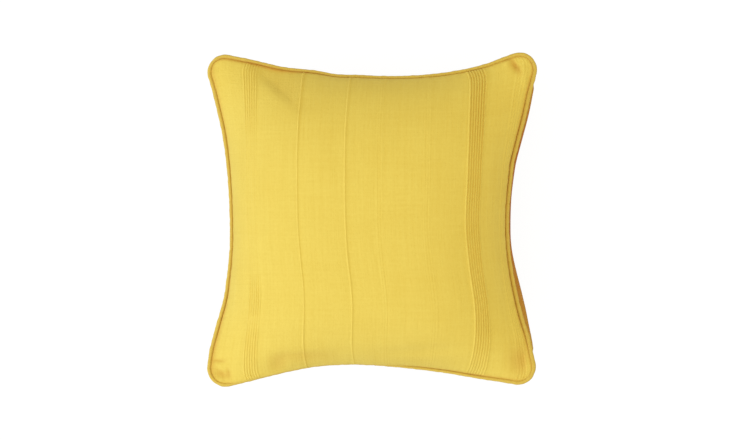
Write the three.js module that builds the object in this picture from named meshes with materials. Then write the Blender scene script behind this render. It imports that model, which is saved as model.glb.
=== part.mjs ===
// A square cushion in a piped cotton cover, lying on its back: a ribbed front panel and a plain back panel,
// sewn together all round with covered piping in the seam, and filled.
// Millimetres. +Z is up, out of the front panel. +X runs across the ribs and +Y along them.
// The origin is under the middle of the cushion, on the surface that it lies on.
import * as THREE from "three";
import { mergeVertices } from "three/addons/utils/BufferGeometryUtils.js";

// Driving sizes.
const CUT_HALF = 215; // half the side of each panel, measured over the cloth from seam to seam
const SEAM_HEIGHT = 66; // of the seam over the surface
const FRONT_CROWN = 76; // of the front panel over the seam
const BACK_CROWN = 84; // of the back panel below the seam, before the surface presses it flat
const PRESS_ROUNDING = 9; // over which the pressed patch turns up into the curve of the back
const CROWN_POWER = 2.8; // how flat the middle of each panel is
const SEAM_REACH = 3; // how close to the seam the seam's own unevenness stays
const GRAIN_LEAN = 2.6; // how far the ribs' ends lean, to the left at the top and the right at the bottom
const PIPING_RADIUS = 2.4;
const PIPING_SIDES = 8;
const PIPING_GAP = 0.3; // between the panels' seam and the piping
const LIP_HEIGHT = 1.2; // of the rounded lip that each panel makes where it turns down into the seam
const LIP_RISE = 3; // over which the lip rises from the seam
const LIP_REACH = 26; // where it has died away into the panel

// Facet lines: close together beside the seams, and no further apart than these elsewhere.
const EDGE_STEPS = [0, 1.5, 4.5, 9, 15];
const COLUMN_SPACING = 17;
const ROW_SPACING = 14;
const LENGTH_STEPS = 24; // in measuring a length of curved cloth
const SLOPE_STEP = 0.002; // in finding which way the cloth faces, as a share of the half side

// Corner rounds of the piping's centre line, counter-clockwise. start and end are where the round
// meets its two sides, in degrees. lift is how far the seam rises there, over its mean height.
const CORNERS = [
  { name: "bottom right", x: 190.8, y: -187.4, radius: 21, start: -100, end: 15, lift: 0 },
  { name: "top right", x: 193, y: 194.5, radius: 20.5, start: -12, end: 113, lift: 0 },
  { name: "top left", x: -192.5, y: 194.5, radius: 21, start: 79, end: 199, lift: 0 },
  { name: "bottom left", x: -193.3, y: -194.3, radius: 21.8, start: 170, end: 283, lift: -4 },
];

// Where each side is drawn in deepest, from the corner before it to the corner after it. heading is
// the way the seam runs there, in degrees, and ease is how much of the half before it and of the half
// after it stays close to that.
const WAISTS = [
  { side: "right", x: 177.5, y: -8, heading: 90, ease: [0.33, 0.33] },
  { side: "top", x: 29.5, y: 186, heading: 180, ease: [0.33, 0.31] },
  { side: "left", x: -184.4, y: -18, heading: 270, ease: [0.33, 0.38] },
  { side: "bottom", x: -30, y: -184.7, heading: 0, ease: [0.33, 0.29] },
];

// Where the seam strays outward from those curves, or inward where out is negative. at is the middle
// of the stretch, in Y on the right and left sides and in X on the others, and reach is half its length.
const STRAYS = [
  { side: "right", at: -150, reach: 20, out: 1.6 },
  { side: "right", at: 75, reach: 15, out: -1 },
  { side: "right", at: 130, reach: 30, out: 0.8 },
  { side: "right", at: 165, reach: 20, out: -0.8 },
  { side: "left", at: -105, reach: 25, out: -1.8 },
  { side: "left", at: -170, reach: 18, out: 1 },
  { side: "left", at: 150, reach: 25, out: 0.8 },
  { side: "top", at: -115, reach: 30, out: -2.4 },
  { side: "top", at: -45, reach: 20, out: -2 },
  { side: "top", at: 172, reach: 15, out: 1 },
  { side: "bottom", at: -45, reach: 20, out: 0.6 },
  { side: "bottom", at: 140, reach: 30, out: 1 },
];

// Where a panel swells out past its seam, from start to end along its side, as shares of the half
// side. It rises over the first stretch and falls over the last.
const SWELL_DEPTH = 0.3;
const SWELLS = [
  { face: "back", side: "right", start: -1, rise: 0.2, end: 0.05, fall: 0.55, out: 23 },
  { face: "front", side: "bottom", start: -0.95, rise: 0.4, end: -0.15, fall: 0.4, out: 3 },
];

// Ribs woven into the front panel. first is the first rib's crest, measured over the cloth.
const RIBS = [
  { name: "left group", first: -165.7, count: 6, pitch: 3.5, height: 1 },
  { name: "left single", first: -86, count: 1, pitch: 3.6, height: 1.2 },
  { name: "middle single", first: -23.3, count: 1, pitch: 3.6, height: 1.1 },
  { name: "middle fine lines", first: 17.5, count: 3, pitch: 3.2, height: 0.3 },
  { name: "right fine lines", first: 78.5, count: 3, pitch: 3.4, height: 0.3 },
  { name: "right group", first: 135.5, count: 6, pitch: 3.7, height: 1.2 },
  { name: "right edge group", first: 195, count: 4, pitch: 4, height: 0.6 },
];

// Where the ribs wander to the right, or to the left where shift is negative. (u, v) is the middle,
// and across and up are the reach, as shares of the half side. slant lowers the middle to the right.
const WANDERINGS = [
  { name: "lower part", u: 0, v: -0.49, slant: 0.14, across: 2.5, up: 0.275, shift: 6.4 },
  { name: "bottom left", u: -0.75, v: -0.95, slant: 0, across: 0.3, up: 0.25, shift: -5 },
  { name: "bottom middle", u: -0.25, v: -1, slant: 0, across: 0.4, up: 0.2, shift: 1 },
  { name: "bottom right", u: 0.65, v: -1.1, slant: 0, across: 0.3, up: 0.15, shift: -9 },
  { name: "right swing", u: 0.65, v: -0.5, slant: 0, across: 0.35, up: 0.16, shift: 1.4 },
  { name: "right waist", u: 0.65, v: 0, slant: 0, across: 0.35, up: 0.2, shift: -2.8 },
  { name: "top middle", u: -0.25, v: 0.8, slant: 0, across: 0.4, up: 0.22, shift: 1 },
  { name: "top right", u: 0.65, v: 1.1, slant: 0, across: 0.3, up: 0.15, shift: -9 },
];

// Creases in the front panel, as soft troughs, or ridges where the depth is negative.
const RELIEF_FADE = 4.5; // over which ribs and creases die away at the seam
const CREASE_ENDS = 0.35; // the share of its depth that a crease keeps at its ends
const CREASES = [
  { name: "top left fold", from: [-152, 194], to: [-102, 150], width: 6, depth: 1.8 },
  { name: "top right tuck", from: [178, 200], to: [190, 176], width: 5, depth: 2.6 },
  { name: "top right ridge", from: [192, 206], to: [200, 150], width: 4, depth: -1.6 },
  { name: "bottom left tuck", from: [-198, -208], to: [-184, -186], width: 4.5, depth: 2.4 },
  { name: "bottom left pleat", from: [-208, -186], to: [-192, -187], width: 3, depth: 1.6 },
  { name: "bottom left hollow", from: [-130, -196], to: [-112, -176], width: 9, depth: 1.6 },
  { name: "bottom right tuck", from: [186, -206], to: [190, -182], width: 5, depth: 2.2 },
  { name: "bottom ripple", from: [10, -170], to: [120, -162], width: 7, depth: 1.2 },
];

const FRONT_COLOUR = "#e8cc58";
const PIPING_COLOUR = "#dfae3c";

const { clamp, degToRad: radians, lerp, smoothstep } = THREE.MathUtils;

function heading(degrees) {
  return new THREE.Vector2(Math.cos(radians(degrees)), Math.sin(radians(degrees)));
}

function onRound({ x, y, radius }, degrees) {
  return new THREE.Vector2(x, y).addScaledVector(heading(degrees), radius);
}

function arc({ x, y, radius }, start, end) {
  return new THREE.EllipseCurve(x, y, radius, radius, radians(start), radians(end));
}

function bend(from, fromWay, to, toWay, ease) {
  const reach = from.distanceTo(to) * ease;
  const leave = from.clone().addScaledVector(fromWay, reach);
  const arrive = to.clone().addScaledVector(toWay, -reach);
  return new THREE.CubicBezierCurve(from, leave, arrive, to);
}

// One side of the piping's centre line, from the middle of one corner round to the middle of the next.
function sidePath(before, waist, after) {
  const path = new THREE.CurvePath();
  const deepest = new THREE.Vector2(waist.x, waist.y);
  const leaving = onRound(before, before.end);
  const arriving = onRound(after, after.start);
  path.add(arc(before, (before.start + before.end) / 2, before.end));
  path.add(bend(leaving, heading(before.end + 90), deepest, heading(waist.heading), waist.ease[0]));
  path.add(bend(deepest, heading(waist.heading), arriving, heading(after.start + 90), waist.ease[1]));
  path.add(arc(after, after.start, (after.start + after.end) / 2));
  return path;
}

const WAYS_OUT = { right: [1, 0], top: [0, 1], left: [-1, 0], bottom: [0, -1] };
const PATHS = Object.fromEntries(
  WAISTS.map((waist, k) => [waist.side, sidePath(CORNERS[k], waist, CORNERS[(k + 1) % CORNERS.length])]),
);

// A point of a side's path, a share t of the way along it, with the seam's strays.
function onPath(side, t) {
  const point = PATHS[side].getPoint(clamp(t, 0, 1));
  const [x, y] = WAYS_OUT[side];
  for (const { side: strayed, at, reach, out } of STRAYS) {
    if (strayed !== side) continue;
    const place = (Math.abs(y) * point.x + Math.abs(x) * point.y - at) / reach;
    point.add(new THREE.Vector2(x, y).multiplyScalar(out * Math.exp(-place * place)));
  }
  return point;
}

// A place on the cushion is (u, v): how far across and up the flat panel, from -1 to 1.
// On the seam, at least one of the two is -1 or 1.
function onSide(u, v) {
  if (u === 1) return { side: "right", t: (1 + v) / 2 };
  if (v === 1) return { side: "top", t: (1 - u) / 2 };
  if (u === -1) return { side: "left", t: (1 - v) / 2 };
  return { side: "bottom", t: (1 + u) / 2 };
}

// The middle of the piping beside (u, v), and the way out from the cushion there.
function pipingPoint(u, v) {
  const { side, t } = onSide(u, v);
  const way = onPath(side, t + SLOPE_STEP).sub(onPath(side, t - SLOPE_STEP)).normalize();
  return { middle: onPath(side, t), outward: new THREE.Vector2(way.y, -way.x) };
}

function seamPoint(u, v) {
  const { middle, outward } = pipingPoint(u, v);
  return middle.addScaledVector(outward, -(PIPING_RADIUS + PIPING_GAP));
}

// How far the seam's unevenness lifts the cushion at (u, v), shared out between the corners.
function seamLift(u, v) {
  const share = ({ x, y }) => ((1 + u * Math.sign(x)) * (1 + v * Math.sign(y))) / CORNERS.length;
  return CORNERS.reduce((sum, corner) => sum + corner.lift * share(corner), 0);
}

function crown(u, v) {
  return (1 - Math.abs(u) ** CROWN_POWER) * (1 - Math.abs(v) ** CROWN_POWER);
}

// Cloth keeps its length as it climbs over the filling, so a point t of the way to the seam lies
// nearer the middle than it does on the flat panel. side is the same share in the other direction.
function drawnIn(t, side) {
  const steepest = ((FRONT_CROWN * CROWN_POWER) / CUT_HALF) * (1 - Math.abs(side) ** CROWN_POWER);
  let sum = 0;
  for (let k = 0; k < LENGTH_STEPS; k += 1) {
    const share = ((k + 0.5) / LENGTH_STEPS) * Math.abs(t);
    const slope = Math.min(steepest * share ** (CROWN_POWER - 1), 1);
    sum += Math.sqrt(1 - slope * slope);
  }
  return (CUT_HALF * t * sum) / LENGTH_STEPS;
}

function evenPlan(u, v) {
  return new THREE.Vector2(drawnIn(u, v), drawnIn(v, u));
}

function seamPull(u, v) {
  return seamPoint(u, v).sub(evenPlan(u, v));
}

function nearSeam(t) {
  return Math.max(t, 0) ** SEAM_REACH;
}

// Where (u, v) lies seen from above: the even shape, pulled to the real seam.
function plan(u, v) {
  const point = evenPlan(u, v);
  for (const end of [-1, 1]) {
    point.addScaledVector(seamPull(end, v), nearSeam(u * end));
    point.addScaledVector(seamPull(u, end), nearSeam(v * end));
    for (const top of [-1, 1]) {
      point.addScaledVector(seamPull(end, top), -nearSeam(u * end) * nearSeam(v * top));
    }
  }
  return point;
}

function hump(t) {
  return 4 * t * (1 - t);
}

function swell(face, u, v) {
  const move = new THREE.Vector2();
  for (const { face: swollen, side, start, rise, end, fall, out } of SWELLS) {
    if (swollen !== face) continue;
    const [x, y] = WAYS_OUT[side];
    const inward = clamp((1 - (x * u + y * v)) / SWELL_DEPTH, 0, 1);
    const along = Math.abs(x) * v + Math.abs(y) * u;
    const beside = smoothstep(along, start, start + rise) * (1 - smoothstep(along, end - fall, end));
    move.add(new THREE.Vector2(x, y).multiplyScalar(out * hump(inward) ** 2 * beside));
  }
  return move;
}

// The surface below stops the back panel. Heights here are over the seam.
function pressed(height) {
  const over = height + SEAM_HEIGHT;
  if (over >= PRESS_ROUNDING) return height;
  if (over <= -PRESS_ROUNDING) return -SEAM_HEIGHT;
  return (over + PRESS_ROUNDING) ** 2 / (4 * PRESS_ROUNDING) - SEAM_HEIGHT;
}

function frontShape(u, v) {
  const { x, y } = plan(u, v).add(swell("front", u, v));
  return new THREE.Vector3(x, y, seamLift(u, v) + FRONT_CROWN * crown(u, v));
}

function backShape(u, v) {
  const { x, y } = plan(u, v).add(swell("back", u, v));
  return new THREE.Vector3(x, y, pressed(seamLift(u, v) - BACK_CROWN * crown(u, v)));
}

function facing(shape, u, v) {
  const [u0, u1, v0, v1] = [u - SLOPE_STEP, u + SLOPE_STEP, v - SLOPE_STEP, v + SLOPE_STEP];
  const across = shape(Math.min(u1, 1), v).sub(shape(Math.max(u0, -1), v));
  const up = shape(u, Math.min(v1, 1)).sub(shape(u, Math.max(v0, -1)));
  return across.cross(up).normalize();
}

function ribHeight(x) {
  let height = 0;
  for (const { first, count, pitch, height: crest } of RIBS) {
    for (let k = 0; k < count; k += 1) {
      const off = Math.abs(x - first - k * pitch) / (pitch / 2);
      height = Math.max(height, crest * (1 - off));
    }
  }
  return height;
}

function creaseDepth(x, y) {
  let total = 0;
  for (const { from, to, width, depth } of CREASES) {
    const start = new THREE.Vector2(...from);
    const run = new THREE.Vector2(...to).sub(start);
    const place = new THREE.Vector2(x, y).sub(start);
    const along = clamp(place.dot(run) / run.lengthSq(), 0, 1);
    const off = place.addScaledVector(run, -along).length() / width;
    total += depth * Math.exp(-off * off) * lerp(CREASE_ENDS, 1, Math.sin(along * Math.PI));
  }
  return total;
}

// Where the thread that is cut at (s, v) lies: threads lean and wander, and keep their ends on the seam.
function withTheGrain(s, v) {
  let shift = -GRAIN_LEAN * v;
  for (const { u, v: middle, slant, across, up, shift: most } of WANDERINGS) {
    const place = [(s - u) / across, (v - middle + slant * s) / up];
    shift += most * Math.exp(-(place[0] ** 2) - place[1] ** 2);
  }
  return s + (shift / CUT_HALF) * (1 - s ** 8);
}

function seamDistance(u, v) {
  return CUT_HALF * Math.min(1 - Math.abs(u), 1 - Math.abs(v));
}

function lip(toSeam) {
  return LIP_HEIGHT * smoothstep(toSeam, 0, LIP_RISE) * (1 - smoothstep(toSeam, LIP_RISE, LIP_REACH));
}

// The front panel on the thread s, with its ribs and creases, which die away at the seam.
function frontPoint(s, v) {
  const u = withTheGrain(s, v);
  const point = frontShape(u, v);
  const toSeam = seamDistance(u, v);
  const relief = ribHeight(s * CUT_HALF) - creaseDepth(point.x, point.y);
  const over = relief * smoothstep(toSeam, 0, RELIEF_FADE) + lip(toSeam);
  return point.addScaledVector(facing(frontShape, u, v), over);
}

function backPoint(s, v) {
  const u = withTheGrain(s, v);
  return backShape(u, v).addScaledVector(facing(backShape, u, v), -lip(seamDistance(u, v)));
}

// Facet lines across one direction, from the seam at -1 to the seam at 1, through the given places.
function facetLines(places, spacing) {
  const ends = EDGE_STEPS.map((step) => CUT_HALF - step);
  const clear = (x) => places.every((place) => Math.abs(place - x) > EDGE_STEPS[1]);
  const lines = [...places, CUT_HALF, -CUT_HALF];
  lines.push(...ends.flatMap((x) => [x, -x]).filter((x) => Math.abs(x) < CUT_HALF && clear(x)));
  lines.sort((a, b) => a - b);
  const filled = [lines[0]];
  for (let k = 1; k < lines.length; k += 1) {
    const parts = Math.ceil((lines[k] - lines[k - 1]) / spacing);
    for (let n = 1; n <= parts; n += 1) {
      filled.push(lines[k - 1] + ((lines[k] - lines[k - 1]) * n) / parts);
    }
  }
  return filled.map((x) => x / CUT_HALF);
}

function ribLines() {
  const lines = [];
  for (const { first, count, pitch } of RIBS) {
    for (let k = 0; k <= 2 * count; k += 1) lines.push(first + ((k - 1) * pitch) / 2);
  }
  return lines;
}

const COLUMNS = facetLines(ribLines(), COLUMN_SPACING);
const ROWS = facetLines([], ROW_SPACING);

function solid(positions, triangles) {
  const geometry = new THREE.BufferGeometry();
  geometry.setAttribute("position", new THREE.Float32BufferAttribute(positions, 3));
  geometry.setIndex(triangles);
  const merged = mergeVertices(geometry);
  merged.computeVertexNormals();
  return merged;
}

// Both panels as one closed body. In each square facet the diagonal runs towards the nearest corner.
function bodyGeometry() {
  const positions = [];
  const triangles = [];
  const addPanel = (shape, outward) => {
    const base = positions.length / 3;
    for (const v of ROWS) {
      for (const s of COLUMNS) positions.push(...shape(s, v));
    }
    for (let j = 0; j + 1 < ROWS.length; j += 1) {
      for (let i = 0; i + 1 < COLUMNS.length; i += 1) {
        const a = base + j * COLUMNS.length + i;
        const [b, c, d] = [a + 1, a + COLUMNS.length + 1, a + COLUMNS.length];
        const rising = (COLUMNS[i] + COLUMNS[i + 1]) * (ROWS[j] + ROWS[j + 1]) > 0;
        const faces = rising ? [[a, b, c], [a, c, d]] : [[a, b, d], [b, c, d]];
        for (const face of faces) triangles.push(...(outward ? face : face.reverse()));
      }
    }
  };
  addPanel(frontPoint, true);
  addPanel(backPoint, false);
  return solid(positions, triangles);
}

// The piping as a closed tube, with a ring of points beside each point of the seam.
function pipingGeometry() {
  const seam = [
    ...COLUMNS.map((s) => [withTheGrain(s, -1), -1]).slice(0, -1),
    ...ROWS.map((v) => [1, v]).slice(0, -1),
    ...COLUMNS.map((s) => [withTheGrain(s, 1), 1]).slice(1).reverse(),
    ...ROWS.map((v) => [-1, v]).slice(1).reverse(),
  ];
  const positions = [];
  const triangles = [];
  seam.forEach(([u, v], ring) => {
    const { middle, outward } = pipingPoint(u, v);
    for (let side = 0; side < PIPING_SIDES; side += 1) {
      const turn = (side / PIPING_SIDES) * 2 * Math.PI;
      const out = PIPING_RADIUS * Math.cos(turn);
      const up = PIPING_RADIUS * Math.sin(turn);
      positions.push(middle.x + outward.x * out, middle.y + outward.y * out, seamLift(u, v) + up);
      const next = (side + 1) % PIPING_SIDES;
      const [here, there] = [ring * PIPING_SIDES, ((ring + 1) % seam.length) * PIPING_SIDES];
      triangles.push(here + side, there + next, here + next, here + side, there + side, there + next);
    }
  });
  return solid(positions, triangles);
}

function cloth(name, colour, geometry) {
  const material = new THREE.MeshStandardMaterial({ color: colour, roughness: 0.92, metalness: 0 });
  const mesh = new THREE.Mesh(geometry, material);
  mesh.name = name;
  return mesh;
}

const cushion = new THREE.Group();
cushion.position.z = SEAM_HEIGHT;
cushion.add(cloth("cushion_body", FRONT_COLOUR, bodyGeometry()));
cushion.add(cloth("piping", PIPING_COLOUR, pipingGeometry()));

export default cushion;
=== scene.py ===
import math

import bpy
import numpy as np
from mathutils import Matrix


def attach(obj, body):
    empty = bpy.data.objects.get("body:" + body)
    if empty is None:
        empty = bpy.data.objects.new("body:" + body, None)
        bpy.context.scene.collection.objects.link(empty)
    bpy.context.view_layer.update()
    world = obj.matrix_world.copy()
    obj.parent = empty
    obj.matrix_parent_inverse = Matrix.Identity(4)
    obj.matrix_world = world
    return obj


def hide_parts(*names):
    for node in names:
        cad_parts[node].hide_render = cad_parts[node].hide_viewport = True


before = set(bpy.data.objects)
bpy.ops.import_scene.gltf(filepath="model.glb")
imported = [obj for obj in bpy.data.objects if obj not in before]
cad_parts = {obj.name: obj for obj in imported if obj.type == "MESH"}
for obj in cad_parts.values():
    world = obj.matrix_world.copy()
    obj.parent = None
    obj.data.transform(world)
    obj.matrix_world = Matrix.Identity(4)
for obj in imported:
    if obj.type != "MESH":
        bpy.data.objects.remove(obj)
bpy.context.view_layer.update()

# Driving sizes.
CUT_HALF = 0.215  # half the side of each panel, measured over the cloth from seam to seam
SEAM_HEIGHT = 0.066  # of the seam over the floor
FRONT_CROWN = 0.076  # of the front panel over the seam
BACK_CROWN = 0.084  # of the back panel below the seam, before the floor presses it flat
PRESS_ROUNDING = 0.009  # over which the pressed patch turns up into the curve of the back
CROWN_POWER = 2.8  # how flat the middle of each panel is
SEAM_REACH = 3  # how close to the seam the seam's own unevenness stays
GRAIN_LEAN = 0.0026  # how far the ribs' ends lean, to the left at the top and the right at the bottom
GRAIN_HOLD = 8  # how close to the left and right seams the threads still wander
PIPING_RADIUS = 0.0027  # at the corners
PIPING_EASE = 0.2  # the share of a side over which it turns into the radius of that side
PIPING_LAP = 0.0006  # how far over the piping's inner side the panels reach
SEAM_RISE = 0.0009  # how far above the piping's centre line they meet
JOIN_AT = 0.5125  # share of the bottom side, where the piping's two ends are joined
JOIN_REACH = 0.0014
JOIN_PINCH = 0.16  # share of the piping's radius
LIP_HEIGHT = 0.0008  # of the rounded lip that each panel makes where it turns down into the seam
LIP_RISE = 0.003  # over which the lip rises from the seam
LIP_REACH = 0.026  # where it has died away into the panel

# The photograph's frame, for the camera alone.
IMAGE_WIDTH = 750  # pixels
CUSHION_MIDDLE_X = 372  # pixels from the left, where the middle of the cushion shows
METRES_A_PIXEL = 0.0013  # at the height of the seam
CAMERA_DISTANCE = 2.6
CAMERA_YAW = 7  # degrees, from straight above towards the cushion's right
CAMERA_PITCH = 1  # degrees, towards the cushion's top
CAMERA_NEAR = 0.1  # nothing nearer to it is shown
CUSHION_MIDDLE = (0.0015, 0.0015)

# Corner rounds of the piping's centre line, counter-clockwise. start and end are where the round
# meets its two sides, in degrees. lift is how far the seam rises there, over its mean height.
CORNERS = [
    {"name": "bottom right", "x": 0.1908, "y": -0.1874, "radius": 0.0207, "start": -100, "end": 15,
     "lift": 0},
    {"name": "top right", "x": 0.193, "y": 0.1945, "radius": 0.0202, "start": -12, "end": 113,
     "lift": 0},
    {"name": "top left", "x": -0.1925, "y": 0.1945, "radius": 0.0207, "start": 79, "end": 199,
     "lift": 0},
    {"name": "bottom left", "x": -0.1933, "y": -0.1943, "radius": 0.0215, "start": 170, "end": 283,
     "lift": -0.004},
]

# Where each side is drawn in deepest, from the corner before it to the corner after it. heading is
# the way the seam runs there, in degrees, and ease is how much of the half before it and of the half
# after it stays close to that. piping is the radius of the piping there.
WAISTS = [
    {"side": "right", "x": 0.1769, "y": -0.008, "heading": 90, "ease": (0.33, 0.33), "piping": 0.003},
    {"side": "top", "x": 0.0295, "y": 0.186, "heading": 180, "ease": (0.33, 0.31), "piping": 0.0024},
    {"side": "left", "x": -0.1838, "y": -0.018, "heading": 270, "ease": (0.33, 0.38), "piping": 0.003},
    {"side": "bottom", "x": -0.03, "y": -0.1847, "heading": 0, "ease": (0.33, 0.29), "piping": 0.0024},
]

# Where the seam strays outward from those curves, or inward where out is negative. at is the middle
# of the stretch, in Y on the right and left sides and in X on the others, and reach is half its length.
STRAYS = [
    {"side": "right", "at": -0.150, "reach": 0.020, "out": 0.0016},
    {"side": "right", "at": 0.075, "reach": 0.015, "out": -0.0010},
    {"side": "right", "at": 0.130, "reach": 0.030, "out": 0.0008},
    {"side": "right", "at": 0.165, "reach": 0.020, "out": -0.0008},
    {"side": "right", "at": 0.100, "reach": 0.080, "out": -0.0024},
    {"side": "left", "at": -0.105, "reach": 0.025, "out": -0.0018},
    {"side": "left", "at": -0.170, "reach": 0.018, "out": 0.0010},
    {"side": "left", "at": 0.150, "reach": 0.025, "out": 0.0008},
    {"side": "top", "at": -0.115, "reach": 0.030, "out": -0.0024},
    {"side": "top", "at": -0.045, "reach": 0.020, "out": -0.0020},
    {"side": "top", "at": 0.172, "reach": 0.015, "out": 0.0010},
    {"side": "bottom", "at": -0.045, "reach": 0.020, "out": 0.0006},
    {"side": "bottom", "at": 0.140, "reach": 0.030, "out": 0.0010},
]

# Ripples that the stitches draw into the panels beside the seam.
PUCKER_HEIGHT = 0.0005
PUCKER_REACH = 0.007  # how far from the seam they are highest
PUCKER_LENGTHS = (0.0093, 0.0131, 0.0187, 0.031)
PIPING_UNEVEN = 0.12  # the share by which the piping's thickness varies

# Where a panel swells out past its seam, from start to end along its side, as shares of the half
# side. It rises over the first stretch and falls over the last.
SWELL_DEPTH = 0.3  # the share of the half side over which a swell reaches in from the seam
SWELLS = [
    {"face": "back", "side": "right", "start": -1, "rise": 0.2, "end": 1, "fall": 0.2, "out": 0.0151},
    {"face": "back", "side": "right", "start": 0.1, "rise": 0.75, "end": 1, "fall": 0.2, "out": 0.0152},
    {"face": "back", "side": "right", "start": -1, "rise": 0.2, "end": -0.1, "fall": 0.53, "out": 0.0148},
    {"face": "front", "side": "bottom", "start": -0.95, "rise": 0.4, "end": -0.15, "fall": 0.4, "out": 0.003},
]

# Where the front panel bulges over the piping: how far its edge lies further out and higher there.
COVERS = [
    {"side": "bottom", "start": -0.95, "rise": 0.15, "end": 0.35, "fall": 0.4, "out": 0.003, "up": 0.0018},
]
COVER_REACH = 0.014  # over which that height dies away into the panel

# Ribs woven into the front panel. first is the first rib's crest, measured over the cloth, and shade is
# how deep in shade the cloth between the ribs is, from 0 to 1.
RIBS = [
    {"name": "left group", "first": -0.1657, "count": 6, "pitch": 0.0035, "height": 0.0009, "shade": 0.04},
    {"name": "left single", "first": -0.086, "count": 1, "pitch": 0.0036, "height": 0.0012, "shade": 0},
    {"name": "middle single", "first": -0.0233, "count": 1, "pitch": 0.0036, "height": 0.0011, "shade": 0},
    {"name": "middle fine lines", "first": 0.0175, "count": 3, "pitch": 0.0032, "height": 0.0002, "shade": 0},
    {"name": "right fine lines", "first": 0.0785, "count": 3, "pitch": 0.0034, "height": 0.0002, "shade": 0},
    {"name": "right group", "first": 0.1357, "count": 7, "pitch": 0.0034, "height": 0.0014, "shade": 0.1},
    {"name": "right edge group", "first": 0.195, "count": 4, "pitch": 0.004, "height": 0.0005, "shade": 0},
]

# The share of their height that ribs keep where the cloth is pulled taut over the filling, or above 1
# where it is slack, at places up the front panel as shares of the half side. Ribs that aren't named
# keep all of it.
TAUT = {
    "left group": {"at": (-0.68, -0.6, -0.52, -0.4, -0.3, 0.45, 0.68),
                   "keep": (1, 0.5, 1.2, 1, 0.3, 0.3, 1)},
    "left single": {"at": (-0.85, -0.5, -0.1, 0.5, 0.8), "keep": (1, 0.75, 0.85, 0.9, 1.4)},
    "middle single": {"at": (-0.85, -0.5, 0), "keep": (0.65, 0.9, 1)},
    "right group": {"at": (-0.95, -0.8, -0.6, 0, 0.6), "keep": (0.5, 0.75, 1, 1, 1.3)},
}

# Where the ribs wander to the right, or to the left where shift is negative. (u, v) is the middle,
# and across and up are the reach, as shares of the half side. slant lowers the middle to the right.
WANDERINGS = [
    {"name": "lower part", "u": 0, "v": -0.49, "slant": 0.14, "across": 2.5, "up": 0.275, "shift": 0.0064},
    {"name": "bottom left", "u": -0.75, "v": -0.95, "slant": 0, "across": 0.3, "up": 0.25, "shift": -0.005},
    {"name": "bottom middle", "u": -0.25, "v": -1, "slant": 0, "across": 0.4, "up": 0.2, "shift": 0.001},
    {"name": "bottom right", "u": 0.65, "v": -1.1, "slant": 0, "across": 0.3, "up": 0.22, "shift": -0.013},
    {"name": "right swing", "u": 0.65, "v": -0.5, "slant": 0, "across": 0.35, "up": 0.16, "shift": 0.0014},
    {"name": "right waist", "u": 0.65, "v": 0, "slant": 0, "across": 0.35, "up": 0.2, "shift": -0.0028},
    {"name": "top middle", "u": -0.25, "v": 0.8, "slant": 0, "across": 0.4, "up": 0.22, "shift": 0.001},
    {"name": "top right", "u": 0.65, "v": 1.1, "slant": 0, "across": 0.3, "up": 0.15, "shift": -0.009},
]

# Creases in the front panel, as soft troughs, or ridges where the depth is negative. width is on the
# right-hand side on the way from one end to the other, and beyond on the left-hand side. shade is how
# deep in shade the crease is, from 0 to 1.
CREASE_ENDS = 0.35  # the share of its depth that a crease keeps at its ends
CREASES = [
    {"name": "top left fold", "from": (-0.145, 0.200), "to": (-0.092, 0.154),
     "width": 0.008, "beyond": 0.022, "depth": 0.0042, "shade": 0.06},
    {"name": "top right tuck", "from": (0.182, 0.208), "to": (0.194, 0.192),
     "width": 0.005, "beyond": 0.003, "depth": 0.0026, "shade": 0.5},
    {"name": "top right bump", "from": (0.174, 0.206), "to": (0.180, 0.202),
     "width": 0.005, "beyond": 0.005, "depth": -0.002, "shade": 0},
    {"name": "top right ridge", "from": (0.197, 0.209), "to": (0.200, 0.170),
     "width": 0.0035, "beyond": 0.0035, "depth": -0.0014, "shade": 0},
    {"name": "bottom left dip", "from": (-0.205, -0.197), "to": (-0.190, -0.205),
     "width": 0.006, "beyond": 0.004, "depth": 0.0022, "shade": 0.35},
    {"name": "bottom left pleat", "from": (-0.209, -0.184), "to": (-0.191, -0.184),
     "width": 0.0022, "beyond": 0.0022, "depth": 0.0016, "shade": 0.3},
    {"name": "bottom left tuck", "from": (-0.189, -0.194), "to": (-0.187, -0.206),
     "width": 0.0028, "beyond": 0.0028, "depth": 0.0016, "shade": 0.3},
    {"name": "bottom left hollow", "from": (-0.130, -0.196), "to": (-0.112, -0.176),
     "width": 0.009, "beyond": 0.009, "depth": 0.002, "shade": 0.16},
    {"name": "bottom left ripple", "from": (-0.125, -0.176), "to": (-0.045, -0.172),
     "width": 0.009, "beyond": 0.006, "depth": 0.0012, "shade": 0.12},
    {"name": "bottom right hollow", "from": (0.197, -0.160), "to": (0.199, -0.198),
     "width": 0.017, "beyond": 0.005, "depth": 0.003, "shade": 0.35},
    {"name": "bottom ripple", "from": (0.010, -0.170), "to": (0.120, -0.162),
     "width": 0.007, "beyond": 0.007, "depth": 0.0014, "shade": 0},
]
RELIEF_FADE = 0.0045  # over which ribs and creases die away at the seam

# Painted shade in the groove beside the piping: how dark its colour is painted, from 0 to 1, at even steps
# along each side. width is how far that reaches into the front panel, and below how far into the back
# panel, where it is deeper by the factor under; on the right it paints the back panel's shade dark orange.
PAINTED_GROOVE_SHADE = [
    {"side": "right", "dark": (0.15, 0.5, 0.6, 0.8, 0.8, 0.55, 0.4),
     "width": 0.0036, "below": 0.028, "under": 1.4},
    {"side": "top", "dark": (0.3, 0.15, 0.22, 0.35, 0.6, 0.75, 0.45),
     "width": 0.0036, "below": 0.008, "under": 1},
    {"side": "left", "dark": (0.35, 0.3, 0.4, 0.5, 0.5, 0.45, 0.35),
     "width": 0.006, "below": 0.008, "under": 1},
    {"side": "bottom", "dark": (0.2, 0, 0, 0.1, 0.3, 0.45, 0.15),
     "width": 0.0036, "below": 0.008, "under": 1},
]
PAINTED_SHADE_TURN = 60  # degrees round the piping from its inner side, over which its painted shade fades
PAINTED_SHADE_TINT = (0.80, 0.53, 0.04)  # what the colour is multiplied by where the painted shade is darkest
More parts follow.
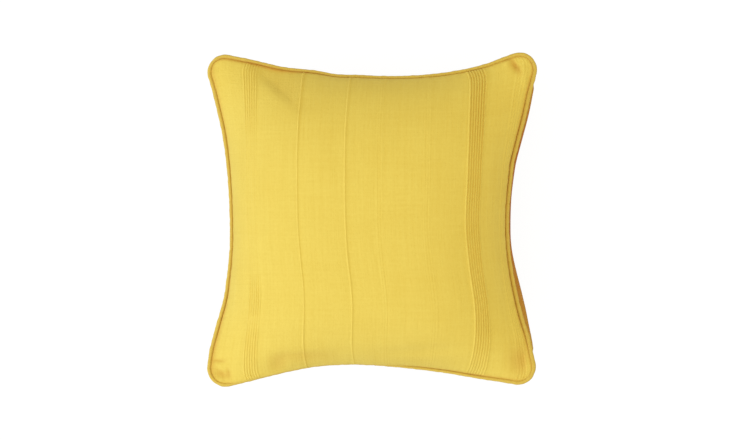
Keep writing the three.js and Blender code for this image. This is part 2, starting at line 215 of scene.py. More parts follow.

# The look of the cotton. Its colours are screen values, and a shade is the colour of the darkest
# threads.
THREAD = 0.0006  # from one thread to the next
PANEL_COLOUR = (0.915, 0.815, 0.365)
PANEL_SHADE = (0.885, 0.77, 0.315)
# The piping's colours are the panel's cotton painted darker and more golden, as painted shade and bounced
# light.
SHADED_PIPING_COLOUR = (0.87, 0.755, 0.335)
SHADED_PIPING_DARKEST = (0.83, 0.70, 0.28)
PIPING_BIAS = 45  # degrees, from the thread to the way the piping runs

# Unevenness in the cotton: its changes in a metre across and up the cloth, and how finely it breaks up.
UNEVEN = {
    "warp slubs": {"across": 900, "up": 28, "detail": 3},
    "weft slubs": {"across": 28, "up": 900, "detail": 3},
    "mottle": {"across": 260, "up": 260, "detail": 3},
    "broad": {"across": 18, "up": 18, "detail": 2},
    "thick warp": {"across": 210, "up": 7, "detail": 2},
    "thick weft": {"across": 9, "up": 230, "detail": 2},
}
WARP_SHARE = 0.6
WEFT_SHARE = 0.4
TONE_SHARES = {"slubs": 0.35, "mottle": 0.2, "broad": 0.15, "thick": 0.3}
WEAVE_TONE = 0.12
WEAVE_MIDDLE = 0.2  # how high the weave is where it leaves the tone as it is
TONE_RANGE = (0.34, 0.66)  # from the darkest threads to the lightest
HEIGHTS = {"weave": 0.00008, "slubs": 0.0003, "mottle": 0.0003, "thick": 0.0006}
COTTON_ROUGHNESS = 0.9
COTTON_SPECULAR = 0.25
SHEEN = 0.12
SHEEN_ROUGHNESS = 0.45
SHEEN_TINT = (1.0, 0.93, 0.6)

# The stage and the light.
FLOOR_HALF = 4.0
FLOOR_DROP = 0.0005  # below the cushion
FLOOR_GREY = 0.1
FLOOR_ROUGHNESS = 0.9
FLOOR_SPECULAR = 0.1
FLOOR_GLOW = 0.93
SKY_BRIGHTNESS = 0.94
SKY_TINT = (1, 0.97, 0.88)
SKY_RISE = (-0.3, 0.5)  # heights between which it comes up, where 0 is level and 1 straight above
SKY_LOW = 0.25  # the share of it that is left below
LIGHT_SIZE = 1.6
LIGHT_UPWARD = (0, 1, 0.01)  # roughly the way that a light's upper side points
LIGHTS = [
    {"name": "left key", "place": (-2.72, 0, 1.27), "power": 21, "tint": (0.88, 1, 1.5)},
    {"name": "lower left key", "place": (-1.92, -1.92, 1.27), "power": 22, "tint": (0.88, 1, 1.5)},
    {"name": "right fill", "place": (2.6, 0, 1.1), "power": 7, "tint": (1.2, 1, 0.8)},
]

# How fine the meshes are.
CURVE_POINTS = 240  # along each stretch of the seam's outline
LENGTH_STEPS = 24  # in measuring a length of curved cloth
FINE_COLUMNS = 361
FINE_ROWS = 201
COARSE_EVERY = 4  # the back has one line for this many of the front's
LINE_SAMPLES = 20  # places tried for each line, in spacing them
OPEN_SPACING = 0.0022  # between lines in open cloth
RIB_SPACING = 0.00045  # between columns across the ribs
SEAM_SPACING = 0.001  # between lines beside the seam
SEAM_BAND = 0.008  # how far from the seam they stay close
PIPING_RINGS = 400  # along each side
PIPING_SIDES = 14
SHARP_TURN = 70  # degrees between two faces, from which their edge is shaded as sharp

# Settling by cloth simulation.
SETTLING_LINES = 96  # across each panel
SETTLING_FRAMES = 20
SETTLING_PRESSURE = 4
SETTLING_STIFFNESS = 2
SETTLING_SMOOTH = 5  # lines over which the broad swelling is told from the wrinkles
MOST_SETTLING = 0.004  # how far a point may move


# CAMERA

def camera_axes():
    """The camera's right, up and backward directions."""
    yaw, pitch = math.radians(CAMERA_YAW), math.radians(CAMERA_PITCH)
    back = np.array([math.sin(yaw) * math.cos(pitch), math.sin(pitch), math.cos(yaw) * math.cos(pitch)])
    right = np.cross([0, 1, 0], back)
    right /= np.linalg.norm(right)
    return right, np.cross(back, right), back


def placed(name, data, matrix):
    thing = bpy.data.objects.new(name, data)
    bpy.context.collection.objects.link(thing)
    thing.matrix_world = Matrix(matrix.tolist())
    return thing


def add_camera():
    data = bpy.data.cameras.new("camera")
    right, up, back = camera_axes()
    matrix = np.eye(4)
    matrix[:3, 0], matrix[:3, 1], matrix[:3, 2] = right, up, back
    matrix[:3, 3] = np.array([*CUSHION_MIDDLE, SEAM_HEIGHT]) + back * CAMERA_DISTANCE
    data.sensor_fit = "HORIZONTAL"
    data.lens = data.sensor_width * CAMERA_DISTANCE / METRES_A_PIXEL / IMAGE_WIDTH
    data.shift_x = (IMAGE_WIDTH / 2 - CUSHION_MIDDLE_X) / IMAGE_WIDTH
    data.clip_start = CAMERA_NEAR
    bpy.context.scene.camera = placed("camera", data, matrix)


add_camera()


# SEAM OUTLINE

WAYS_OUT = {"right": (1, 0), "top": (0, 1), "left": (-1, 0), "bottom": (0, -1)}


def heading(degrees):
    return np.array([math.cos(math.radians(degrees)), math.sin(math.radians(degrees))])


def on_round(corner, degrees):
    return np.array([corner["x"], corner["y"]]) + corner["radius"] * heading(degrees)


def arc(corner, start, end):
    return np.array([on_round(corner, turn) for turn in np.linspace(start, end, CURVE_POINTS)])


def bend(begin, begin_way, end, end_way, ease):
    """A cubic curve between two points that leaves and arrives along the given ways."""
    reach = np.linalg.norm(end - begin) * ease
    leave, arrive = begin + begin_way * reach, end - end_way * reach
    t = np.linspace(0, 1, CURVE_POINTS)[:, None]
    s = 1 - t
    return s**3 * begin + 3 * s**2 * t * leave + 3 * s * t**2 * arrive + t**3 * end


def side_path(before, waist, after, strays):
    """One side of an outline, from the middle of one corner round to the middle of the next."""
    deepest = np.array([waist["x"], waist["y"]])
    way = heading(waist["heading"])
    stretches = [
        arc(before, (before["start"] + before["end"]) / 2, before["end"]),
        bend(on_round(before, before["end"]), heading(before["end"] + 90), deepest, way, waist["ease"][0]),
        bend(deepest, way, on_round(after, after["start"]), heading(after["start"] + 90), waist["ease"][1]),
        arc(after, after["start"], (after["start"] + after["end"]) / 2),
    ]
    points = np.concatenate([stretches[0]] + [stretch[1:] for stretch in stretches[1:]])
    across, up = WAYS_OUT[waist["side"]]
    for row in strays:
        if row["side"] == waist["side"]:
            place = points @ np.array([abs(up), abs(across)]) - row["at"]
            points += np.outer(row["out"] * np.exp(-((place / row["reach"]) ** 2)), [across, up])
    distance = np.concatenate([[0], np.cumsum(np.linalg.norm(np.diff(points, axis=0), axis=1))])
    return {"points": points, "ways": np.gradient(points, distance, axis=0), "distance": distance}


def along_side(path, t):
    """Points at shares t of a side, and the way out from the cushion at each."""
    place = t * path["distance"][-1]
    point, way = (
        np.stack([np.interp(place, path["distance"], path[kind][:, k]) for k in (0, 1)], -1)
        for kind in ("points", "ways")
    )
    way = way / np.linalg.norm(way, axis=-1, keepdims=True)
    return point, np.stack([way[..., 1], -way[..., 0]], -1)


def outline(corners, waists, strays):
    return [side_path(corners[k], waist, corners[(k + 1) % 4], strays) for k, waist in enumerate(waists)]


def flat_outline():
    """The panel as cut: a square with the same corner rounds."""
    radius = sum(corner["radius"] for corner in CORNERS) / 4 - PIPING_RADIUS
    inset = CUT_HALF - radius
    corners = [
        {"x": inset * x, "y": inset * y, "radius": radius, "start": 90 * k - 90, "end": 90 * k}
        for k, (x, y) in enumerate([(1, -1), (1, 1), (-1, 1), (-1, -1)])
    ]
    waists = [
        {"side": side, "x": CUT_HALF * x, "y": CUT_HALF * y, "heading": 90 + 90 * k, "ease": (1 / 3, 1 / 3)}
        for k, (side, (x, y)) in enumerate(WAYS_OUT.items())
    ]
    return outline(corners, waists, [])


SEAM = outline(CORNERS, WAISTS, STRAYS)
FLAT_SEAM = flat_outline()
RIGHT, TOP, LEFT, BOTTOM = range(4)


# PANEL SHAPES
# A place on the cushion is (u, v): how far across and up the flat panel, from -1 to 1.

def side_share(side, u, v):
    return {RIGHT: (1 + v) / 2, TOP: (1 - u) / 2, LEFT: (1 - v) / 2, BOTTOM: (1 + u) / 2}[side]


def side_place(side, t):
    edge = np.ones_like(t)
    return {
        RIGHT: (edge, 2 * t - 1),
        TOP: (1 - 2 * t, edge),
        LEFT: (-edge, 1 - 2 * t),
        BOTTOM: (2 * t - 1, -edge),
    }[side]


def drawn_in(t, side):
    """Cloth keeps its length as it climbs over the filling, so a point t of the way to the seam lies
    nearer the middle than it does on the flat panel. side is the same share in the other direction."""
    steepest = FRONT_CROWN * CROWN_POWER / CUT_HALF * (1 - np.abs(side) ** CROWN_POWER)
    total = 0
    for k in range(LENGTH_STEPS):
        share = (k + 0.5) / LENGTH_STEPS * np.abs(t)
        slope = np.minimum(steepest * share ** (CROWN_POWER - 1), 1)
        total = total + np.sqrt(1 - slope * slope)
    return CUT_HALF * t * total / LENGTH_STEPS


def smooth_step(x):
    x = np.clip(x, 0, 1)
    return x * x * (3 - 2 * x)


def curved_plan(u, v):
    return np.stack([drawn_in(u, v), drawn_in(v, u)], -1)


def flat_plan(u, v):
    return np.stack([CUT_HALF * u, CUT_HALF * v], -1)


def near_seam(t):
    return np.maximum(t, 0)[..., None] ** SEAM_REACH


def stretch_share(row, u, v):
    """How much of a swell or a cover there is along its side, from 0 to 1."""
    x, y = WAYS_OUT[row["side"]]
    along = abs(x) * v + abs(y) * u
    rising = smooth_step((along - row["start"]) / row["rise"])
    return rising * smooth_step((row["end"] - along) / row["fall"])


def piping_radius(side, t):
    """The piping's radius at shares t of a side."""
    share = smooth_step(np.minimum(t, 1 - t) / PIPING_EASE)
    return PIPING_RADIUS + (WAISTS[side]["piping"] - PIPING_RADIUS) * share


def tucked(side, x, y):
    """How far inside the piping's centre line the panels meet."""
    covers = [row for row in COVERS if row["side"] == list(WAYS_OUT)[side]]
    inset = piping_radius(side, side_share(side, x, y)) - PIPING_LAP
    return inset - sum(row["out"] * stretch_share(row, x, y) for row in covers)


def not_tucked(side, x, y):
    return np.zeros(np.broadcast(x, y).shape)


def pulled_to_seam(u, v, plan, seam, inset):
    """A plan of the panel, pulled so that its edges lie on the seam, inset from the outline."""
    def pull(side, x, y):
        x, y = np.broadcast_arrays(x, y)
        point, outward = along_side(seam[side], side_share(side, x, y))
        return point - outward * np.asarray(inset(side, x, y))[..., None] - plan(x, y)

    points = plan(u, v)
    points = points + pull(RIGHT, 1.0, v) * near_seam(u) + pull(LEFT, -1.0, v) * near_seam(-u)
    points = points + pull(TOP, u, 1.0) * near_seam(v) + pull(BOTTOM, u, -1.0) * near_seam(-v)
    for x in (-1.0, 1.0):
        for y in (-1.0, 1.0):
            points = points - pull(RIGHT if x > 0 else LEFT, x, y) * near_seam(u * x) * near_seam(v * y)
    return points


def crown(u, v):
    return (1 - np.abs(u) ** CROWN_POWER) * (1 - np.abs(v) ** CROWN_POWER)


def seam_lift(u, v):
    return sum(
        corner["lift"] * (1 + u * np.sign(corner["x"])) * (1 + v * np.sign(corner["y"])) / 4
        for corner in CORNERS
    )


def cover_lift(u, v):
    lift = np.zeros_like(u)
    for row in COVERS:
        x, y = WAYS_OUT[row["side"]]
        fade = 1 - smooth_step(CUT_HALF * (1 - x * u - y * v) / COVER_REACH)
        lift += row["up"] * stretch_share(row, u, v) * fade
    return lift


def swell(face, u, v):
    move = np.zeros(u.shape + (2,))
    for row in SWELLS:
        if row["face"] == face:
            x, y = WAYS_OUT[row["side"]]
            inward = np.clip((1 - (x * u + y * v)) / SWELL_DEPTH, 0, 1)
            amount = stretch_share(row, u, v) * (row["out"] * (4 * inward * (1 - inward)) ** 2)
            move += amount[..., None] * np.array([x, y])
    return move


def pressed(z):
    """The floor stops the back panel."""
    rounded = (z + PRESS_ROUNDING) ** 2 / (4 * PRESS_ROUNDING)
    return np.where(z >= PRESS_ROUNDING, z, np.where(z <= -PRESS_ROUNDING, 0, rounded))


def panel_shape(face, u, v):
    plan = pulled_to_seam(u, v, curved_plan, SEAM, tucked) + swell(face, u, v)
    seam_z = SEAM_HEIGHT + SEAM_RISE + seam_lift(u, v) + cover_lift(u, v)
    height = FRONT_CROWN * crown(u, v) if face == "front" else -BACK_CROWN * crown(u, v)
    z = seam_z + height if face == "front" else pressed(seam_z + height)
    return np.concatenate([plan, z[..., None]], -1)


def flat_places(u, v):
    return pulled_to_seam(u, v, flat_plan, FLAT_SEAM, not_tucked)


def with_the_grain(s, t):
    """Where the thread that is cut at (s, t) lies. Threads lean and wander, with their ends on the seam."""
    shift = -GRAIN_LEAN * t
    for row in WANDERINGS:
        up = (t - row["v"] + row["slant"] * s) / row["up"]
        shift = shift + row["shift"] * np.exp(-(((s - row["u"]) / row["across"]) ** 2) - up**2)
    return s + shift / CUT_HALF * (1 - s**GRAIN_HOLD)


def facing(points):
    """Unit normals of a grid of points, rows first."""
    normal = np.cross(np.gradient(points, axis=1), np.gradient(points, axis=0))
    return normal / np.linalg.norm(normal, axis=-1, keepdims=True)


# RIBS AND CREASES

def rib_keep(row, v):
    """The share of their height that ribs keep at v."""
    taut = TAUT.get(row["name"])
    return np.interp(v, taut["at"], taut["keep"]) if taut else np.ones_like(v)


def rib_share(row, x):
    """How much of a rib there is at each place across the cloth, from 0 to 1."""
    nearest = np.clip(np.round((x - row["first"]) / row["pitch"]), 0, row["count"] - 1)
    off = np.abs(x - row["first"] - nearest * row["pitch"]) / (row["pitch"] / 2)
    return np.cos(np.clip(off, 0, 1) * math.pi / 2) ** 2


def rib_height(x, v):
    return sum(row["height"] * rib_keep(row, v) * rib_share(row, x) for row in RIBS)


def rib_shade(x, v):
    """The shade between the ribs of a group."""
    total = np.zeros_like(x)
    for row in RIBS:
        among = (x > row["first"]) & (x < row["first"] + (row["count"] - 1) * row["pitch"])
        total += row["shade"] * rib_keep(row, v) * (1 - rib_share(row, x)) * among
    return total


def crease_share(row, plan):
    """How much of a crease there is at each point, from 0 to 1."""
    start = np.array(row["from"])
    run = np.array(row["to"]) - start
    place = plan - start
    along = np.clip(place @ run / (run @ run), 0, 1)
    off = np.linalg.norm(place - along[..., None] * run, axis=-1)
    leftward = (run[0] * place[..., 1] - run[1] * place[..., 0]) / np.linalg.norm(run)
    beyond = 0.5 + 0.5 * leftward / np.maximum(off, 1e-6)
    width = row["width"] + (row["beyond"] - row["width"]) * beyond
    return np.exp(-((off / width) ** 2)) * (CREASE_ENDS + (1 - CREASE_ENDS) * np.sin(along * math.pi))


def crease_depth(plan):
    return sum(row["depth"] * crease_share(row, plan) for row in CREASES)


def crease_shade(plan):
    return sum(row["shade"] * crease_share(row, plan) for row in CREASES)


def seam_distance(u, v):
    return CUT_HALF * np.minimum(1 - np.abs(u), 1 - np.abs(v))


def lip(to_seam):
    rise = smooth_step(to_seam / LIP_RISE)
    return LIP_HEIGHT * rise * (1 - smooth_step((to_seam - LIP_RISE) / (LIP_REACH - LIP_RISE)))


def ripple(along):
    """Waves of every length in PUCKER_LENGTHS at once."""
    return sum(np.sin(along * 2 * math.pi / length + k) for k, length in enumerate(PUCKER_LENGTHS))


def puckers(u, v):
    """Small ripples that the stitches draw into the cloth beside the seam."""
    total = np.zeros_like(u)
    for side, way in enumerate(WAYS_OUT.values()):
        off = CUT_HALF * (1 - way[0] * u - way[1] * v)
        along = CUT_HALF * 2 * side_share(side, u, v) + side
        fade = np.exp(-((off / PUCKER_REACH - 1) ** 2) * 2)
        total += PUCKER_HEIGHT * ripple(along) / len(PUCKER_LENGTHS) * fade
    return total


def with_relief(points, s, u, v):
    to_seam = seam_distance(u, v)
    relief = rib_height(s * CUT_HALF, v) - crease_depth(points[..., :2])
    relief *= smooth_step(to_seam / RELIEF_FADE)
    return points + facing(points) * (relief + lip(to_seam) + puckers(u, v))[..., None]


# Painted shade beside the piping, at shares t of a side.
def painted_shade_along(row, t):
    return np.interp(t, np.linspace(0, 1, len(row["dark"])), row["dark"])


def panel_painted_shade(face, u, v):
    """The painted shade of the groove over a panel, beside the seam on the front and further in on the back.
    """
    dark = np.zeros_like(u)
    for side, row in enumerate(PAINTED_GROOVE_SHADE):
        x, y = WAYS_OUT[row["side"]]
        off = CUT_HALF * (1 - x * u - y * v)
        if face == "front":
            fade = np.exp(-((off / row["width"]) ** 2))
        else:
            fade = row["under"] * (1 - smooth_step(off / row["below"] - 1))
        dark = np.maximum(dark, painted_shade_along(row, side_share(side, u, v)) * fade)
    return np.minimum(dark, 1)


# SETTLING
# The cover was cut flat. Each panel's cloth is let go under the filling's pressure, with its seam
# held, and the wrinkles that this leaves are added to the shape.

def panel_faces(index):
    """Faces over a grid of point numbers, rows first, facing up."""
    corners = [index[:-1, :-1], index[:-1, 1:], index[1:, 1:], index[1:, :-1]]
    return np.stack(corners, -1).reshape(-1, 4)


def closed_grid(count):
    """Point numbers of two square grids that share their edges, and the total."""
    front = np.arange(count * count).reshape(count, count)
    back = front.copy()
    back[1:-1, 1:-1] = count * count + np.arange((count - 2) ** 2).reshape(count - 2, count - 2)
    return front, back, count * count + (count - 2) ** 2


def settle():
    """How far the cloth of each panel moves, on a grid of SETTLING_LINES + 1 lines each way."""
    count = SETTLING_LINES + 1
    lines = np.linspace(-1, 1, count)
    s, v = np.meshgrid(lines, lines)
    u = with_the_grain(s, v)
    front, back, total = closed_grid(count)
    start, cut = np.zeros((total, 3)), np.zeros((total, 3))
    for index, face in ((back, "back"), (front, "front")):
        start[index] = panel_shape(face, u, v)
        cut[index, :2] = flat_places(s, v)
    mesh = bpy.data.meshes.new("settling")
    faces = np.concatenate([panel_faces(front), panel_faces(back)[:, ::-1]])
    mesh.from_pydata(start.tolist(), [], faces.tolist())
    helper = placed("settling", mesh, np.eye(4))
    helper.shape_key_add(name="filled")
    rest = helper.shape_key_add(name="cut")
    rest.data.foreach_set("co", cut.ravel())
    held = helper.vertex_groups.new(name="seam")
    edge = np.unique(np.concatenate([front[0], front[-1], front[:, 0], front[:, -1]]))
    held.add([int(k) for k in edge], 1.0, "REPLACE")
    cloth = helper.modifiers.new("cloth", "CLOTH")
    cloth.settings.rest_shape_key = rest
    cloth.settings.vertex_group_mass = "seam"
    cloth.settings.use_pressure = True
    cloth.settings.uniform_pressure_force = SETTLING_PRESSURE
    cloth.settings.bending_stiffness = SETTLING_STIFFNESS
    cloth.settings.effector_weights.gravity = 0
    cloth.point_cache.frame_end = SETTLING_FRAMES
    scene = bpy.context.scene
    for number in range(1, SETTLING_FRAMES + 1):
        scene.frame_set(number)
    settled = helper.evaluated_get(bpy.context.evaluated_depsgraph_get()).to_mesh()
    end = np.zeros(total * 3)
    settled.vertices.foreach_get("co", end)
    moved = end.reshape(-1, 3) - start
    bpy.data.objects.remove(helper)
    bpy.data.meshes.remove(mesh)
    scene.frame_set(1)
    return moved[front], moved[back]


def blurred(field, lines):
    """A grid field, smoothed over a number of lines both ways."""
    reach = 3 * lines
    weight = np.exp(-0.5 * (np.arange(-reach, reach + 1) / lines) ** 2)
    weight /= weight.sum()
    for axis in (0, 1):
        padding = [(reach, reach) if k == axis else (0, 0) for k in range(3)]
        padded = np.pad(field, padding, mode="edge")
        own = np.arange(field.shape[axis])
        field = sum(w * np.take(padded, own + k, axis) for k, w in enumerate(weight))
    return field


def wrinkles(moved):
    """The uneven part of how the cloth moved, with no point moving further than MOST_SETTLING."""
    uneven = moved - blurred(moved, SETTLING_SMOOTH)
    size = np.linalg.norm(uneven, axis=-1, keepdims=True)
    return uneven * MOST_SETTLING / (MOST_SETTLING + size)


def spread_weights(places):
    """Smooth weights that carry values from the settling grid's lines to other places."""
    at = (places + 1) / 2 * SETTLING_LINES
    first = np.clip(np.floor(at).astype(int), 0, SETTLING_LINES - 1)
    f = at - first
    parts = [
        (-f + 2 * f**2 - f**3) / 2,
        (2 - 5 * f**2 + 3 * f**3) / 2,
        (f + 4 * f**2 - 3 * f**3) / 2,
        (f**3 - f**2) / 2,
    ]
    weights = np.zeros((len(places), SETTLING_LINES + 1))
    for k, part in enumerate(parts):
        np.add.at(weights, (np.arange(len(places)), np.clip(first + k - 1, 0, SETTLING_LINES)), part)
    return weights


def spread(field, columns, rows):
    return np.einsum("ri,ijk,cj->rck", spread_weights(rows), field, spread_weights(columns))


# THE CUSHION'S MESH

def crowded_lines(count, closeness):
    """count places from -1 to 1, crowded where closeness, the lines wanted in a metre, is high."""
    x = np.linspace(-CUT_HALF, CUT_HALF, LINE_SAMPLES * count)
    wanted = closeness(x)
    total = np.concatenate([[0], np.cumsum(wanted[1:] + wanted[:-1])])
    return np.interp(np.linspace(0, total[-1], count), total, x) / CUT_HALF


def row_closeness(x):
    to_seam = CUT_HALF - np.abs(x)
    return 1 / OPEN_SPACING + (1 / SEAM_SPACING - 1 / OPEN_SPACING) * np.exp(-to_seam / SEAM_BAND)


def column_closeness(x):
    wanted = row_closeness(x)
    for row in RIBS:
        low = row["first"] - row["pitch"]
        high = row["first"] + row["count"] * row["pitch"]
        wanted = np.where((x > low) & (x < high), 1 / RIB_SPACING, wanted)
    return wanted


def edge_between(index, a, b):
    """The point numbers on a straight stretch of a grid, from place a up to but not with place b."""
    up, across = b[0] - a[0], b[1] - a[1]
    steps = max(abs(up), abs(across))
    return [int(index[a[0] + up * k // steps, a[1] + across * k // steps]) for k in range(steps)]


def back_faces(front, back):
    """Faces of the coarse back, whose outer faces take in every point of the fine seam."""
    faces = []
    last_row, last_column = front.shape[0] - 1, front.shape[1] - 1
    for j in range(0, last_row, COARSE_EVERY):
        for i in range(0, last_column, COARSE_EVERY):
            upper, right = j + COARSE_EVERY, i + COARSE_EVERY
            ring = [(j, i), (j, right), (upper, right), (upper, i)]
            face = []
            for a, b in zip(ring, ring[1:] + ring[:1]):
                on_seam = a[0] == b[0] in (0, last_row) or a[1] == b[1] in (0, last_column)
                face += edge_between(front, a, b) if on_seam else [int(back[a])]
            faces.append(face[::-1])
    return faces


def cushion_mesh():
    columns = crowded_lines(FINE_COLUMNS, column_closeness)
    rows = crowded_lines(FINE_ROWS, row_closeness)
    s, v = np.meshgrid(columns, rows)
    u = with_the_grain(s, v)
    front_points, back_points = panel_shape("front", u, v), panel_shape("back", u, v)
    front_moved, back_moved = settle()
    front_points += spread(wrinkles(front_moved), columns, rows)
    back_points += spread(wrinkles(back_moved), columns, rows)
    front_points = with_relief(front_points, s, u, v)
    back_points -= facing(back_points) * lip(seam_distance(u, v))[..., None]
    back_points[..., 2] = np.maximum(back_points[..., 2], 0)

    shape = front_points.shape[:2]
    front = np.arange(shape[0] * shape[1]).reshape(shape)
    inner = np.zeros(shape, bool)
    inner[COARSE_EVERY:-1:COARSE_EVERY, COARSE_EVERY:-1:COARSE_EVERY] = True
    back = front.copy()
    back[inner] = front.size + np.arange(inner.sum())
    points = np.concatenate([front_points.reshape(-1, 3), back_points[inner]])
    flat = np.concatenate([flat_places(s, v).reshape(-1, 2), flat_places(s[inner], v[inner])])

    top = panel_faces(front)
    mesh = bpy.data.meshes.new("cushion_cover")
    mesh.from_pydata(points.tolist(), [], top.tolist() + back_faces(front, back))
    corner_points = np.zeros(len(mesh.loops), int)
    mesh.loops.foreach_get("vertex_index", corner_points)
    places = flat[corner_points]
    places[top.size:, 0] += 2 * CUT_HALF + SEAM_BAND  # the back's cloth is laid beside the front's
    mesh.uv_layers.new(name="cloth").data.foreach_set("uv", places.ravel())
    # Painted shade in the creases, between the ribs and beside the seam, kept in the groove attribute that
    # darkens the colour.
    folds = crease_shade(front_points[..., :2]) + rib_shade(s * CUT_HALF, v)
    front_dark = np.clip(panel_painted_shade("front", u, v) + folds, 0, 1)
    dark = np.concatenate([front_dark.ravel(), panel_painted_shade("back", u, v)[inner]])
    mesh.attributes.new("groove", "FLOAT", "POINT").data.foreach_set("value", dark)
    mesh.shade_smooth()
    mesh.set_sharp_from_angle(angle=math.radians(SHARP_TURN))
    return mesh


# PIPING

def piping_mesh():
    """A closed tube round the seam, with one ring of points after another."""
    t = np.arange(PIPING_RINGS) / PIPING_RINGS
    middles, outwards, darkness, radii = [], [], [], []
    for side in (RIGHT, TOP, LEFT, BOTTOM):
        point, outward = along_side(SEAM[side], t)
        z = SEAM_HEIGHT + seam_lift(*side_place(side, t))
        middles.append(np.column_stack([point, z]))
        outwards.append(np.column_stack([outward, np.zeros_like(t)]))
        darkness.append(painted_shade_along(PAINTED_GROOVE_SHADE[side], t))
        radii.append(piping_radius(side, t))
    middle, outward = np.concatenate(middles), np.concatenate(outwards)
    step = np.linalg.norm(np.roll(middle, -1, 0) - middle, axis=1)
    along = np.concatenate([[0], np.cumsum(step)])
    turn = np.arange(PIPING_SIDES) / PIPING_SIDES * 2 * math.pi
    up = np.array([0, 0, 1])
    from_join = (along[:-1] - along[int((BOTTOM + JOIN_AT) * PIPING_RINGS)]) / JOIN_REACH
    join = np.exp(-(from_join**2))
    uneven = PIPING_UNEVEN * ripple(along[:-1]) / len(PUCKER_LENGTHS)
    radius = np.concatenate(radii) * (1 - JOIN_PINCH * join + uneven)
    rings = radius[:, None, None] * (
        np.cos(turn)[None, :, None] * outward[:, None] + np.sin(turn)[None, :, None] * up
    )
    points = (middle[:, None] + rings).reshape(-1, 3)
    ring, side = np.meshgrid(np.arange(len(middle)), np.arange(PIPING_SIDES), indexing="ij")
    following, beside = (ring + 1) % len(middle), (side + 1) % PIPING_SIDES
    faces = np.stack([
        ring * PIPING_SIDES + side, following * PIPING_SIDES + side,
        following * PIPING_SIDES + beside, ring * PIPING_SIDES + beside,
    ], -1).reshape(-1, 4)
    mesh = bpy.data.meshes.new("piping_cover")
    mesh.from_pydata(points.tolist(), [], faces.tolist())
    girth = 2 * math.pi * PIPING_RADIUS / PIPING_SIDES
    starts, ends = along[ring], along[ring + 1]
    corners = [(starts, side), (ends, side), (ends, side + 1), (starts, side + 1)]
    places = np.stack([np.stack([x, y * girth], -1) for x, y in corners], -2)
    mesh.uv_layers.new(name="cloth").data.foreach_set("uv", places.ravel())
    # Painted shade on the piping's inner side, beside the panels; the piping is also darkened where its ends
    # are joined.
    from_inside = np.exp(-(((turn - math.pi) / math.radians(PAINTED_SHADE_TURN)) ** 2))
    dark = np.maximum(np.outer(np.concatenate(darkness), from_inside), join[:, None])
    mesh.attributes.new("groove", "FLOAT", "POINT").data.foreach_set("value", dark.ravel())
    mesh.shade_smooth()
    return mesh


# MATERIALS

def linear(colour):
    """A screen colour as the amounts of light that a shader takes."""
    return (*[c / 12.92 if c <= 0.04045 else ((c + 0.055) / 1.055) ** 2.4 for c in colour], 1)


class Nodes:
    """Builds a material's node tree."""

    def __init__(self, name):
        self.material = bpy.data.materials.new(name)
        self.material.use_nodes = True
        self.tree = self.material.node_tree
        self.shader = self.tree.nodes["Principled BSDF"]

    def add(self, kind, inputs=(), **settings):
        node = self.tree.nodes.new(kind)
        for key, value in settings.items():
            setattr(node, key, value)
        for key, value in dict(inputs).items():
            self.set(node.inputs[key], value)
        return node

    def set(self, socket, value):
        if isinstance(value, bpy.types.NodeSocket):
            self.tree.links.new(value, socket)
        else:
            socket.default_value = value

    def maths(self, operation, a, b=0.0, c=0.0):
        return self.add("ShaderNodeMath", {0: a, 1: b, 2: c}, operation=operation).outputs[0]

    def total(self, *parts):
        """The sum of values, each times its share."""
        products = [self.maths("MULTIPLY", value, share) for value, share in parts]
        result = products[0]
        for product in products[1:]:
            result = self.maths("ADD", result, product)
        return result

    def scaled(self, vector, x, y, turn=0.0):
        inputs = {"Vector": vector, "Scale": (x, y, 1), "Rotation": (0, 0, turn)}
        return self.add("ShaderNodeMapping", inputs).outputs[0]

    def noise(self, vector, detail=2.0, rough=0.5):
        inputs = {"Vector": vector, "Scale": 1.0, "Detail": detail, "Roughness": rough}
        return self.add("ShaderNodeTexNoise", inputs, noise_dimensions="2D").outputs["Fac"]

    def blend(self, factor, a, b, kind="MIX"):
        """Two colours mixed. The node's colours go in at 6 and 7, and come out at 2."""
        node = self.add("ShaderNodeMix", data_type="RGBA", blend_type=kind)
        for socket, value in ((node.inputs[0], factor), (node.inputs[6], a), (node.inputs[7], b)):
            self.set(socket, value)
        return node.outputs[2]


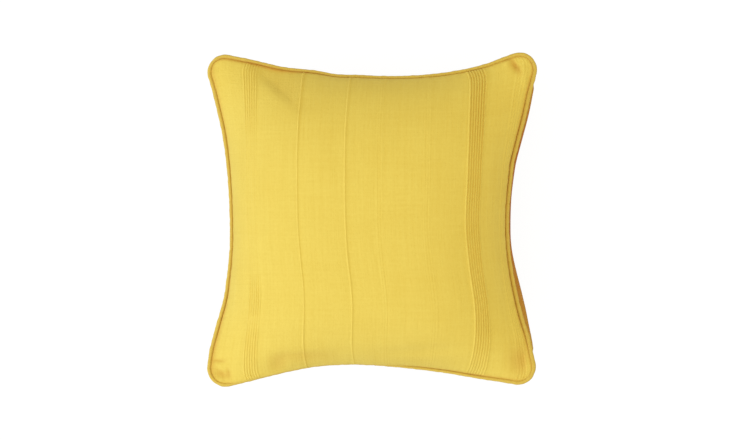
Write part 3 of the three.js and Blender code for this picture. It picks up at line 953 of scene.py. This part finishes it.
def cotton(name, colour, shade, turn):
    """A plain-woven cotton: two sets of threads over and under each other, uneven along both."""
    m = Nodes(name)
    place = m.add("ShaderNodeUVMap", uv_map="cloth").outputs[0]
    across_threads = m.add("ShaderNodeSeparateXYZ", {0: m.scaled(place, 1 / THREAD, 1 / THREAD, turn)})
    waves = [m.maths("SINE", m.maths("MULTIPLY", across_threads.outputs[k], math.pi)) for k in (0, 1)]
    over = m.maths("MULTIPLY", waves[0], waves[1])
    both = m.maths("MULTIPLY", m.maths("ABSOLUTE", waves[0]), m.maths("ABSOLUTE", waves[1]))
    uneven = {
        kind: m.noise(m.scaled(place, row["across"], row["up"]), row["detail"])
        for kind, row in UNEVEN.items()
    }
    fields = {
        "weave": m.total((over, 0.5), (both, 0.5)),
        "slubs": m.total((uneven["warp slubs"], WARP_SHARE), (uneven["weft slubs"], WEFT_SHARE)),
        "mottle": uneven["mottle"],
        "broad": uneven["broad"],
        "thick": m.total((uneven["thick warp"], WARP_SHARE), (uneven["thick weft"], WEFT_SHARE)),
    }
    off_middle = m.maths("SUBTRACT", fields["weave"], WEAVE_MIDDLE)
    tones = [(fields[kind], share) for kind, share in TONE_SHARES.items()]
    tone = m.total(*tones, (off_middle, WEAVE_TONE))
    low, high = TONE_RANGE
    dye = m.add("ShaderNodeMapRange", {"Value": tone, "From Min": low, "From Max": high}).outputs[0]
    dyed = m.blend(dye, linear(shade), linear(colour))
    # Painted shade: the groove attribute multiplies the colour towards the tint of painted shade.
    groove = m.add("ShaderNodeAttribute", attribute_name="groove").outputs["Fac"]
    m.set(m.shader.inputs["Base Color"], m.blend(groove, dyed, linear(PAINTED_SHADE_TINT), "MULTIPLY"))
    height = m.total(*[(fields[kind], share) for kind, share in HEIGHTS.items()])
    bump = m.add("ShaderNodeBump", {"Height": height, "Distance": 1.0, "Strength": 1.0})
    m.set(m.shader.inputs["Normal"], bump.outputs[0])
    m.shader.inputs["Roughness"].default_value = COTTON_ROUGHNESS
    m.shader.inputs["Specular IOR Level"].default_value = COTTON_SPECULAR
    m.shader.inputs["Sheen Weight"].default_value = SHEEN
    m.shader.inputs["Sheen Roughness"].default_value = SHEEN_ROUGHNESS
    m.shader.inputs["Sheen Tint"].default_value = linear(SHEEN_TINT)
    return m.material


# STAGE AND LIGHT

def add_stage():
    mesh = bpy.data.meshes.new("floor")
    corners = [(-1, -1), (1, -1), (1, 1), (-1, 1)]
    points = [(x * FLOOR_HALF, y * FLOOR_HALF, -FLOOR_DROP) for x, y in corners]
    mesh.from_pydata(points, [], [(0, 1, 2, 3)])
    m = Nodes("pale_floor")
    m.shader.inputs["Base Color"].default_value = (FLOOR_GREY, FLOOR_GREY, FLOOR_GREY, 1)
    m.shader.inputs["Roughness"].default_value = FLOOR_ROUGHNESS
    m.shader.inputs["Specular IOR Level"].default_value = FLOOR_SPECULAR
    m.shader.inputs["Emission Color"].default_value = (1, 1, 1, 1)
    m.shader.inputs["Emission Strength"].default_value = FLOOR_GLOW
    mesh.materials.append(m.material)
    floor = placed("floor", mesh, np.eye(4))
    floor.visible_diffuse = False


def add_light(name, place, power, tint):
    """A square light at place, turned towards the cushion."""
    data = bpy.data.lights.new(name, "AREA")
    data.color = tint
    data.shape = "SQUARE"
    data.size = LIGHT_SIZE
    data.energy = power
    back = np.array(place, float)
    back /= np.linalg.norm(back)
    right = np.cross(LIGHT_UPWARD, back)
    right /= np.linalg.norm(right)
    matrix = np.eye(4)
    matrix[:3, 0], matrix[:3, 1], matrix[:3, 2] = right, np.cross(back, right), back
    matrix[:3, 3] = place
    placed(name, data, matrix)


def add_world():
    """An even sky that is darker below."""
    world = bpy.data.worlds.new("studio")
    world.use_nodes = True
    tree = world.node_tree
    way = tree.nodes.new("ShaderNodeTexCoord")
    height = tree.nodes.new("ShaderNodeSeparateXYZ")
    strength = tree.nodes.new("ShaderNodeMapRange")
    strength.inputs["From Min"].default_value = SKY_RISE[0]
    strength.inputs["From Max"].default_value = SKY_RISE[1]
    strength.inputs["To Min"].default_value = SKY_LOW * SKY_BRIGHTNESS
    strength.inputs["To Max"].default_value = SKY_BRIGHTNESS
    shader = tree.nodes["Background"]
    shader.inputs["Color"].default_value = (*SKY_TINT, 1)
    tree.links.new(way.outputs["Generated"], height.inputs[0])
    tree.links.new(height.outputs["Z"], strength.inputs["Value"])
    tree.links.new(strength.outputs[0], shader.inputs["Strength"])
    bpy.context.scene.world = world


add_stage()
add_world()
for light in LIGHTS:
    add_light(light["name"], light["place"], light["power"], light["tint"])
bpy.context.scene.view_settings.view_transform = "Standard"


# THE PIECES

cover = placed("cushion_cover", cushion_mesh(), np.eye(4))
cover.data.materials.append(cotton("panel_cotton", PANEL_COLOUR, PANEL_SHADE, 0))
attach(cover, "root")
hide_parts("cushion_body")

piping = placed("piping_cover", piping_mesh(), np.eye(4))
bias = math.radians(PIPING_BIAS)
piping.data.materials.append(cotton("piping_cotton", SHADED_PIPING_COLOUR, SHADED_PIPING_DARKEST, bias))
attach(piping, "root")
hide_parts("piping")
